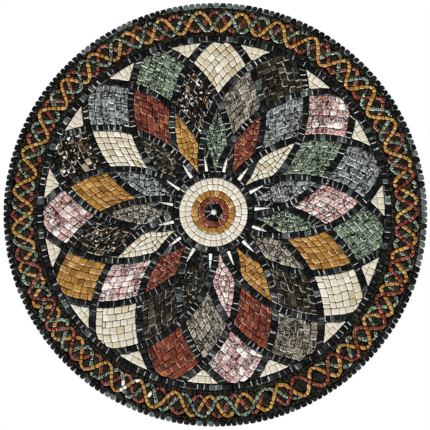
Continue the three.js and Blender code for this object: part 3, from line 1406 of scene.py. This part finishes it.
@dataclass
class BraidBand:
    """The dark band with its three-strand braid.

    Each strand's middle line is r = centre + swing * cos(phase). Which strand lies on top changes along
    the band. The others stop short of it, as stones laid in one layer must.
    """

    layout: Layout
    inner: float
    outer: float
    centre: float = 363.0
    swing: float = 19.2
    turns: int = 32
    crest: float = math.radians(-4.1)
    half_strand: float = 3.8
    gap: float = 0.3
    stone_length: float = 9.0
    ground_length: float = 10.5
    wander: float = math.radians(0.35)
    # between these bearings the green strand makes one wave fewer, and the red one lags behind
    green_slip: tuple[float, float] = (math.radians(138.5), math.radians(172.3))
    red_lag: float = math.radians(2.4)
    repair: tuple[float, float] = (math.radians(197), math.radians(209))
    repair_share: float = 0.14
    # bearings in degrees from which each order of the strands holds, top strand first
    orders: tuple[tuple[float, tuple[Strand, ...]], ...] = (
        (0, (Strand.GREEN, Strand.GOLD, Strand.RED)),
        (11.7, (Strand.GOLD, Strand.GREEN, Strand.RED)),
        (75, (Strand.RED, Strand.GOLD, Strand.GREEN)),
        (161, (Strand.GREEN, Strand.GOLD, Strand.RED)),
        (189, (Strand.GOLD, Strand.GREEN, Strand.RED)),
        (224, (Strand.RED, Strand.GREEN, Strand.GOLD)),
        (259, (Strand.GOLD, Strand.GREEN, Strand.RED)),
        (312.8, (Strand.GREEN, Strand.GOLD, Strand.RED)),
    )
    samples: int = 14400
    least_strand: float = 2.0  # an open stretch of a strand shorter than this gets no stone
    least_ground_width: float = 1.2
    least_ground_length: float = 3.0
    long_eye: float = 24.0  # length from which an eye of the braid is cut into several stones
    eye_stone: float = 13.0
    ground_height: float = 10.0

    def phase(self, strand: Strand, bearing: Array) -> Array:
        """Phase of a strand's wave, with the slips and the wandering of a setting by eye.

        Args:
            strand: The strand.
            bearing: Bearings.

        Returns:
            turns * (bearing - crest), one third of a turn later for each strand in order.
        """
        start, stop = self.green_slip
        share = np.clip((bearing - start) / (stop - start), 0, 1)
        drift = self.wander * (np.sin(5 * bearing + 2 * strand.value) + np.sin(11 * bearing + strand.value))
        if strand is Strand.RED:
            drift = drift + self.red_lag * np.sin(math.pi * share) ** 2
        turn = self.turns * (bearing - self.crest - drift) - strand.value * 2 * math.pi / len(Strand)
        return turn - 2 * math.pi * share if strand is Strand.GREEN else turn

    def radius(self, strand: Strand, bearing: Array) -> Array:
        """Radius of a strand's middle line."""
        return self.centre + self.swing * np.cos(self.phase(strand, bearing))

    def slope(self, strand: Strand, bearing: Array) -> Array:
        """The tangent of the angle between a strand and its circle, from a small step along it."""
        nudge = 1e-4
        rise = self.radius(strand, bearing + nudge) - self.radius(strand, bearing - nudge)
        return rise / (2 * nudge * self.centre)

    def side(self, strand: Strand, sign: int, bearing: Array) -> tuple[Array, Array]:
        """One side of a strand as radii and bearings.

        Args:
            strand: The strand.
            sign: 1 for the side to the outside, -1 for the other.
            bearing: Bearings along the middle line.

        Returns:
            Radii and bearings, half a strand's width at right angles to the middle line.
        """
        slope = self.slope(strand, bearing)
        scale = sign * self.half_strand / np.hypot(1, slope)
        radius = self.radius(strand, bearing) + scale
        return radius, bearing - scale * slope / radius

    def covered(self, strand: Strand, sign: int, bearing: Array) -> Array:
        """Where a strand's side lies under a strand above it.

        Args:
            strand: The strand.
            sign: Which of its sides.
            bearing: Bearings along the middle line.

        Returns:
            True where the side is within half a width and a joint of a higher strand's middle line.
        """
        radius, place = self.side(strand, sign, bearing)
        starts = np.radians([start for start, _ in self.orders])
        order = np.searchsorted(starts, np.mod(place, 2 * math.pi), side="right") - 1
        rank = np.array([[ranks.index(s) for s in Strand] for _, ranks in self.orders])[order]
        hidden = np.zeros(len(bearing), bool)
        for other in Strand:
            if other is strand:
                continue
            distance = np.abs(radius - self.radius(other, place)) / np.hypot(1, self.slope(other, place))
            above = rank[:, other.value] < rank[:, strand.value]
            hidden |= above & (distance < self.half_strand + self.gap)
        return hidden

    def build(self, bench: Bench) -> None:
        """Set the braid and its ground.

        Args:
            bench: Where stones are cut.
        """
        rng = np.random.default_rng(41)
        cut = Cut(joint=1.2, joint_play=0.3, corner=1.6, pillow=1.3, wobble=0.35, tone_low=0.2)
        repairs = []
        for strand in Strand:
            cells = self.strand_cells(strand, rng)
            middle = cells.mean(axis=1)
            bearing = np.mod(np.arctan2(middle[:, 0], middle[:, 1]), 2 * math.pi)
            worn = (bearing > self.repair[0]) & (bearing < self.repair[1])
            worn &= rng.random(len(cells)) < self.repair_share
            repairs.append(cells[worn])
            name = f"{strand.name.lower()}_strand"
            bench.set_stones(name, [Course(cells[~worn], cut)], STRAND_STONES[strand], 60 + strand.value)
        bench.set_stones("white_repairs", [Course(np.concatenate(repairs), cut)], Stone.WHITE, 64)
        ground = Cut(
            joint=1.0, joint_play=0.35, corner=1.3, pillow=1.4, lift_play=0.35, tone_high=0.6, bruise_and_highlight=(0.3, 0.4)
        )
        piece = bench.set_stones("braid_ground", [Course(self.ground_cells(rng), ground)], Stone.BROWN, 63)
        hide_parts("braid_band")

    def strand_cells(self, strand: Strand, rng: np.random.Generator) -> Array:
        """Cells of one strand, between the places where it passes under another.

        Args:
            strand: The strand.
            rng: Varies the stones.

        Returns:
            The cells.
        """
        step = 2 * math.pi / self.samples
        turn = step * np.arange(self.samples)
        start = int(np.argmax(self.covered(strand, 1, turn) & self.covered(strand, -1, turn)))
        bearing = turn + step * start
        is_open = [~self.covered(strand, sign, bearing) for sign in (-1, 1)]
        runs = np.array(runs_of(is_open[0] & is_open[1]))
        ends = [self.side_runs(flags, runs) for flags in is_open]
        travelled = self.travel(strand, bearing)
        cells = []
        for index, (low, high) in enumerate(runs):
            length = travelled[high] - travelled[low]
            if length < self.least_strand:
                continue
            joints = shares(length, self.stone_length, 0.2, rng)
            count = len(joints) - 1
            places = np.interp(travelled[low] + length * joints, travelled, bearing)
            near = min(2, count)
            near_low = np.clip(1 - np.arange(count + 1) / near, 0, 1)
            sides = []
            for sign, run in zip((-1, 1), ends):
                shift_low, shift_high = bearing[run[index]] - bearing[[low, high]]
                moved = places + shift_low * near_low + shift_high * near_low[::-1]
                sides.append(self.layout.ring(*self.side(strand, sign, moved)))
            cells.append(strip(*sides))
        return np.concatenate(cells)

    def side_runs(self, flags: Array, runs: Array) -> Array:
        """How far one side of a strand stays open beyond each run in which both sides are.

        Args:
            flags: Where the side is open.
            runs: First and last index of each run.

        Returns:
            First and last index of each run on this side, at most a stone's length longer.
        """
        found = np.array(runs_of(flags))
        own = found[np.searchsorted(found[:, 0], runs[:, 0], side="right") - 1]
        reach = round(self.samples * self.stone_length / (2 * math.pi * self.centre))
        first = np.maximum(own[:, 0], runs[:, 0] - reach)
        last = np.minimum(own[:, 1], runs[:, 1] + reach)
        return np.stack([first, last], axis=1)

    def travel(self, strand: Strand, bearing: Array) -> Array:
        """Distance along a strand's middle line at each bearing."""
        path = self.layout.ring(self.radius(strand, bearing), bearing)
        return np.concatenate([[0.0], np.linalg.norm(np.diff(path, axis=0), axis=1).cumsum()])

    def ground_cells(self, rng: np.random.Generator) -> Array:
        """Cells of the dark ground, between the strands and along both edges of the band.

        Args:
            rng: Varies the stones.

        Returns:
            The cells.
        """
        bearing = np.linspace(0, 2 * math.pi, self.samples + 1)
        lines = np.array([self.radius(strand, bearing) for strand in Strand])
        slopes = np.array([self.slope(strand, bearing) for strand in Strand])
        order = np.argsort(lines, axis=0)
        half = self.half_strand * np.hypot(1, np.take_along_axis(slopes, order, axis=0))
        middle = np.take_along_axis(lines, order, axis=0)
        lows = np.vstack([np.full_like(bearing, self.inner)[None], middle + half])
        highs = np.vstack([middle - half, np.full_like(bearing, self.outer)[None]])
        cells = []
        for band, (low, high) in enumerate(zip(lows, highs)):
            for start, stop in runs_of(high - low > self.least_ground_width):
                if (bearing[stop] - bearing[start]) * self.centre < self.least_ground_length:
                    continue
                cut_up = self.eye_cells if band in (1, 2) else self.edge_cells
                stretch = slice(start, stop + 1)
                cells.append(cut_up(bearing[stretch], low[stretch], high[stretch], rng))
        return np.concatenate(cells)

    def eye_cells(self, bearing: Array, low: Array, high: Array, rng: np.random.Generator) -> Array:
        """Cells of one eye of the braid: a single lozenge, or two where the eye is long.

        Args:
            bearing: Fine bearings along the eye.
            low: Its lower edge at each.
            high: Its upper edge at each.
            rng: Varies the stones.

        Returns:
            The cells.
        """
        centre = (low + high) / 2
        last = len(bearing) - 1
        length = (bearing[-1] - bearing[0]) * self.centre
        waist = int(np.argmax(high - low))
        if length < self.long_eye:
            corners = [(0, centre[0]), (waist, low[waist]), (last, centre[-1]), (waist, high[waist])]
            return np.stack([self.layout.ring(radius, bearing[i]) for i, radius in corners])[None]
        joints = np.round(last * shares(length, self.eye_stone, 0.15, rng)).astype(int)
        return strip(*(self.layout.ring(edge[joints], bearing[joints]) for edge in (low, high)))

    def edge_cells(self, bearing: Array, low: Array, high: Array, rng: np.random.Generator) -> Array:
        """Cells of the ground along an edge of the band, in columns, the tall ones cut in two.

        Args:
            bearing: Fine bearings along the ground.
            low: Its lower edge at each.
            high: Its upper edge at each.
            rng: Varies the stones.

        Returns:
            The cells.
        """
        length = (bearing[-1] - bearing[0]) * self.centre
        ends = np.round(shares(length, self.ground_length, 0.15, rng) * (len(bearing) - 1)).astype(int)
        cells = []
        for pair in zip(ends[:-1], ends[1:]):
            tall = max(high[end] - low[end] for end in pair)
            levels = np.linspace(0, 1, max(1, round(tall / self.ground_height)) + 1)
            levels[1:-1] += rng.uniform(-0.08, 0.08, len(levels) - 2)
            sides = [self.layout.ring(between(low[end], high[end], levels), bearing[end]) for end in pair]
            cells.append(strip(*sides))
        return np.concatenate(cells)


def runs_of(flags: Array) -> list[tuple[int, int]]:
    """First and last index of each run of true values.

    Args:
        flags: True and false values.

    Returns:
        The runs.
    """
    padded = np.concatenate([[False], flags, [False]])
    edges = np.flatnonzero(padded[1:] != padded[:-1])
    return [(int(a), int(b) - 1) for a, b in zip(edges[::2], edges[1::2])]


@dataclass
class RimCourse:
    """The outermost course, with the outer ends of its stones rounded, and lighter in some stretches; near the
    top, from 330 to 3 degrees, that lightening is painted reflection.
    """

    layout: Layout
    inner: float
    outer: float
    # bearing and half spread in degrees, and how much lighter the stones are there; the stretches at 330, 354
    # and 3 degrees are painted reflection on the top of the rim
    pale_and_reflection_stretches: tuple[tuple[float, float, float], ...] = (
        (3, 11, 0.75), (88, 13, 0.85), (190, 14, 0.3), (208, 8, 0.3), (330, 12, 0.6), (354, 6, 0.7),
    )

    def build(self, bench: Bench) -> None:
        """Set the rim's stones.

        Args:
            bench: Where stones are cut.
        """
        rng = np.random.default_rng(53)
        cells = RingCourse(self.inner, self.outer, 217, play=0.12).cells(self.layout, rng)
        cut = Cut(
            outer_corner=4.0, corner=2.2, joint=0.7, joint_play=0.25, tone_low=0.2, tone_high=0.95,
            bruise_and_highlight=(0.45, 0.7),
        )
        middle = cells.mean(axis=1)
        bearing = np.degrees(np.arctan2(middle[:, 0], middle[:, 1]))
        lift = np.zeros(len(cells))
        # lighten the stones of each stretch; near the top this is painted reflection
        for place, spread, amount in self.pale_and_reflection_stretches:
            away = np.abs(np.mod(bearing - place + 180, 360) - 180)
            lift += amount * np.exp(-((away / spread) ** 2)) * rng.uniform(0.5, 1, len(cells))
        piece = bench.set_stones("rim_stones", [Course(cells, cut, lift)], Stone.BLACK, 71)
        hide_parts("rim_course")


# ------------------------------------------------------------------------------------------- the net's back


@dataclass
class NetBacking:
    """The resin sheet and the woven glass net on its back."""

    radius: float
    thickness: float
    mesh_size: float = 5.0
    yarn_width: float = 1.3
    yarn_height: float = 0.45

    def build(self) -> None:
        """Make the sheet and the net, and dress them."""
        sheet = self.sheet()
        sheet.data.materials.append(self.resin())
        net = self.net()
        net.data.materials.append(self.glass_yarn())
        # the near-black bed that shows in the joints is painted shade over the adhesive
        glue_and_shade_bed = self.glue_and_shade_bed()
        glue_and_shade_bed.data.materials.append(self.glue_and_shade_paint())
        for piece in (sheet, net, glue_and_shade_bed):
            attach(piece, "root")
        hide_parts("net_backing")
        log.info("net backing: %d yarn faces", len(net.data.polygons))

    def sheet(self) -> bpy.types.Object:
        """The resin sheet: a round disc whose rim is a little ragged.

        Returns:
            The sheet, a closed lathed shape of rings around the axis.
        """
        bearing = disc_bearings()
        rag = 0.5 * np.sin(7 * bearing) + 0.4 * np.sin(17 * bearing + 1) + 0.3 * np.sin(41 * bearing + 2)
        edge = self.radius - 1.2 + rag
        back = 2 * self.yarn_height * 0.9
        return turned_disc("resin_sheet", [(edge - 1.0, back), (edge, back + 0.4), (edge, self.thickness)])

    def glue_and_shade_bed(self) -> bpy.types.Object:
        """A thin disc on the sheet's front that shows in the joints: nearly black adhesive with painted shade,
        standing in for the shade at the joints' bottoms.

        Returns:
            The bed.
        """
        rings = [(self.radius, self.thickness), (self.radius - 0.6, self.thickness + 0.5)]
        return turned_disc("glue_bed_and_painted_shade", rings)

    def glue_and_shade_paint(self) -> bpy.types.Material:
        """Nearly black adhesive with painted shade, a little dusty."""
        bench = NodeBench("glue_and_shade_paint")
        place = bench.tree.nodes.new("ShaderNodeTexCoord").outputs["Object"]
        dust = bench.noise(place, 6.0, 3.0, 0.6)
        # near-black painted shade for the depth of the joints, varied by dust
        bench.feed(bench.shader.inputs["Base Color"], bench.ramp(dust, ((0.35, "0E0D0B"), (0.75, "2A2620"))))
        bench.shader.inputs["Roughness"].default_value = 0.8
        bench.shader.inputs["Specular IOR Level"].default_value = 0.2
        return bench.material

    def net(self) -> bpy.types.Object:
        """The net: two layers of flat yarns, one across the other.

        Returns:
            The net. Each yarn is a six-sided bar as long as the disc is wide there.
        """
        count = int(2 * self.radius / self.mesh_size)
        places = (np.arange(count) - (count - 1) / 2) * self.mesh_size
        half = np.sqrt(np.maximum((self.radius - 2) ** 2 - places**2, 0))
        places, half = places[half > 20], half[half > 20]
        width, height = self.yarn_width / 2, self.yarn_height
        section = np.array([[-1, 0.25], [-0.5, 0], [0.5, 0], [1, 0.25], [0.5, 1], [-0.5, 1]])
        section = section * [width, height]
        points, faces = [], []
        for layer, base in enumerate((0.0, height)):
            ends = np.stack([-half, half], axis=1)[:, :, None] + np.zeros((1, 1, 6))
            across = places[:, None, None] + section[None, None, :, 0] + np.zeros_like(ends)
            depth = base + section[None, None, :, 1] + np.zeros_like(ends)
            first, second = (ends, across) if layer else (across, ends)
            block = np.stack([first, -depth, second], axis=-1)
            start = layer * 12 * len(places) + np.arange(len(places))[:, None] * 12
            ring, onward = np.arange(6), (np.arange(6) + 1) % 6
            for k in range(6):
                quad = start + np.array([ring[k], onward[k], onward[k] + 6, ring[k] + 6])
                faces += (quad if not layer else quad[:, ::-1]).tolist()
            near, far = (ring, ring[::-1]) if layer else (ring[::-1], ring)
            for cap in (start + near, start + far + 6):
                faces += cap.tolist()
            points.append(block.reshape(-1, 3))
        return mesh_piece("glass_net", np.concatenate(points), faces)

    def resin(self) -> bpy.types.Material:
        """Pale resin with the stones' backs showing faintly through it."""
        bench = NodeBench("net_backing")
        place = bench.tree.nodes.new("ShaderNodeTexCoord").outputs["Object"]
        cells = bench.tree.nodes.new("ShaderNodeTexVoronoi")
        cells.feature = "F1"
        cells.inputs["Scale"].default_value = MM / 12
        bench.feed(cells.inputs["Vector"], place)
        smear = bench.noise(place, 40.0, 4.0, 0.6, 1.0)
        tone = bench.maths("MULTIPLY_ADD", cells.outputs["Distance"], 0.5)
        bench.feed(tone.node.inputs[2], bench.maths("MULTIPLY", smear, 0.7))
        bench.feed(
            bench.shader.inputs["Base Color"],
            bench.ramp(tone, ((0.3, "8E8876"), (0.5, "B3AD99"), (0.75, "CDC8B6"))),
        )
        bench.feed(bench.shader.inputs["Roughness"], bench.span(smear, 0.1, 1.3))
        bench.bump(smear, 0.4)
        return bench.material

    def glass_yarn(self) -> bpy.types.Material:
        """White glass yarn, with fine lengthwise streaks."""
        bench = NodeBench("glass_yarn")
        place = bench.tree.nodes.new("ShaderNodeTexCoord").outputs["Object"]
        streak = bench.noise(place, 0.8, 3.0, 0.6)
        base = bench.ramp(streak, ((0.3, "C9C7BC"), (0.7, "E9E7DE")))
        bench.feed(bench.shader.inputs["Base Color"], base)
        bench.shader.inputs["Roughness"].default_value = 0.55
        bench.bump(streak, 0.1)
        return bench.material


DISC_SIDES = 180


def disc_bearings() -> Array:
    """Evenly spaced bearings of the points round a disc."""
    return np.arange(DISC_SIDES) * 2 * math.pi / DISC_SIDES


def turned_disc(name: str, rings: list[tuple[Array | float, float]]) -> bpy.types.Object:
    """A closed disc from its rings, from the back to the front.

    Args:
        name: Name of the object.
        rings: Radius and depth of each ring.

    Returns:
        The object, with a flat face on the first and on the last ring.
    """
    bearing = disc_bearings()
    points = [
        np.stack([radius * np.sin(bearing), np.full(DISC_SIDES, -depth), radius * np.cos(bearing)], axis=1)
        for radius, depth in rings
    ]
    around = np.arange(DISC_SIDES)
    onward = (around + 1) % DISC_SIDES
    band = np.stack([around, onward, DISC_SIDES + onward, DISC_SIDES + around], 1)
    quads = np.concatenate([band + k * DISC_SIDES for k in range(len(rings) - 1)])
    last = (len(rings) - 1) * DISC_SIDES
    faces = [*quads.tolist(), around[::-1].tolist(), (around + last).tolist()]
    return mesh_piece(name, np.concatenate(points), faces)


def mesh_piece(name: str, points: Array, faces: list[list[int]]) -> bpy.types.Object:
    """An object from points in millimetres and faces.

    Args:
        name: Name of the object.
        points: Points, shaped (points, 3).
        faces: Indices of each face's points.

    Returns:
        The object, linked to the scene.
    """
    mesh = bpy.data.meshes.new(name)
    mesh.from_pydata((points / MM).tolist(), [], faces)
    mesh.update()
    piece = bpy.data.objects.new(name, mesh)
    bpy.context.scene.collection.objects.link(piece)
    return piece


# ------------------------------------------------------------------------------------------------- studio


@dataclass
class Studio:
    """Camera, light and floor."""

    face_depth: float
    view_width: float = 0.80995
    look_drop: float = 0.0003
    look_left: float = 0.00064
    focal: float = 60.0
    sensor: float = 36.0
    floor_drop: float = 1.2
    floor_size: float = 2.4

    def build(self) -> None:
        """Set up the camera, the lamps, the world and the floor."""
        self.camera()
        self.lamps()
        self.world()
        self.floor()
        bpy.context.scene.view_settings.view_transform = "Standard"

    def camera(self) -> None:
        """A camera square to the medallion's face, where its view is view_width across."""
        data = bpy.data.cameras.new("camera")
        data.lens = self.focal
        data.sensor_width = self.sensor
        camera = bpy.data.objects.new("camera", data)
        distance = self.view_width * self.focal / self.sensor
        camera.location = (-self.look_left, -self.face_depth / MM - distance, -self.look_drop)
        camera.rotation_euler = (math.pi / 2, 0.0, 0.0)
        bpy.context.scene.collection.objects.link(camera)
        bpy.context.scene.camera = camera

    def lamps(self) -> None:
        """A soft key low from the left, and a broad weak fill from above."""
        self.sun("key", (-0.40, -0.55, -0.74), 4.9, 12)
        self.sun("fill", (0.2, -1.0, 0.4), 0.25, 60)

    def sun(self, name: str, towards: tuple[float, float, float], strength: float, angle: float) -> None:
        """A sun lamp.

        Args:
            name: Its name.
            towards: Direction from the object to the lamp.
            strength: Its strength.
            angle: Its apparent size in degrees, which softens its shadows.
        """
        data = bpy.data.lights.new(name, "SUN")
        data.energy = strength
        data.angle = math.radians(angle)
        lamp = bpy.data.objects.new(name, data)
        x, y, z = towards
        lamp.rotation_euler = (math.atan2(math.hypot(x, y), z), 0.0, math.atan2(y, x) + math.pi / 2)
        bpy.context.scene.collection.objects.link(lamp)

    def world(self) -> None:
        """A white surround, which lights the object less strongly than it shows."""
        world = bpy.data.worlds.new("studio")
        bpy.context.scene.world = world
        world.use_nodes = True
        tree = world.node_tree
        background = tree.nodes["Background"]
        background.inputs["Color"].default_value = (1, 1, 1, 1)
        path = tree.nodes.new("ShaderNodeLightPath")
        strength = tree.nodes.new("ShaderNodeMapRange")
        strength.inputs["To Min"].default_value = 0.12
        strength.inputs["To Max"].default_value = 1.0
        tree.links.new(path.outputs["Is Camera Ray"], strength.inputs["Value"])
        tree.links.new(strength.outputs["Result"], background.inputs["Strength"])

    def floor(self) -> None:
        """A plain pale floor well below the hung medallion."""
        size, drop = self.floor_size * MM, self.floor_drop * MM
        corners = np.array([[-1, -1], [1, -1], [1, 1], [-1, 1]]) * size
        corners = np.column_stack([corners, np.full(4, -drop)])
        floor = mesh_piece("floor", corners, [[0, 1, 2, 3]])
        bench = NodeBench("floor")
        bench.shader.inputs["Base Color"].default_value = colour("ECEAE6")
        bench.shader.inputs["Roughness"].default_value = 0.8
        floor.data.materials.append(bench.material)
        floor.visible_shadow = False
        floor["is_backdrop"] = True


# --------------------------------------------------------------------------------------------------- main


HALF_JOINT = 0.5  # the frame's plates stop this far short of the lines between them
BORDER_COURSE = 11.5  # width of the black course round the rosette
CORE_COURSE = 10.5  # width of the black course round the roundel


def half_width(node: str) -> float:
    """Half of a frame node's width, in millimetres."""
    low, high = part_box(node)
    return (high.x - low.x) / 2 * MM


def main() -> None:
    """Build the medallion and its studio."""
    logging.basicConfig(level=logging.INFO, format="%(message)s")
    panel_radius = half_width("rim_course")
    net_low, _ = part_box("net_backing")
    face_low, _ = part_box("rim_course")
    layout = Layout(panel_radius)
    bench = Bench(bed=-net_low.y * MM, face=-face_low.y * MM)
    roundel_nodes = [node for node in frame["nodes"] if node.endswith(("ring", "stone"))]
    radius = {node: half_width(node) + HALF_JOINT for node in roundel_nodes}
    braid_outer = half_width("braid_band") + HALF_JOINT
    border = half_width("black_lattice") + HALF_JOINT
    rosette, core = border - BORDER_COURSE, radius["cream_ring"] + CORE_COURSE
    Studio(bench.face).build()
    Roundel(
        layout, radius["eye_stone"], radius["black_ring"], radius["red_ring"], radius["gold_ring"],
        radius["cream_ring"],
    ).build(bench)
    BlackLattice(layout, radius["cream_ring"], core, rosette, border).build(bench)
    Fields(layout, core, rosette).build(bench)
    BraidBand(layout, border, braid_outer).build(bench)
    RimCourse(layout, braid_outer, panel_radius).build(bench)
    NetBacking(half_width("net_backing"), bench.bed).build()
    sizes = {"cad": CAD_BOUNDS, "visual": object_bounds()}
    {name: [list(corner) for corner in box] for name, box in sizes.items()}


if __name__ == "__main__":
    main()
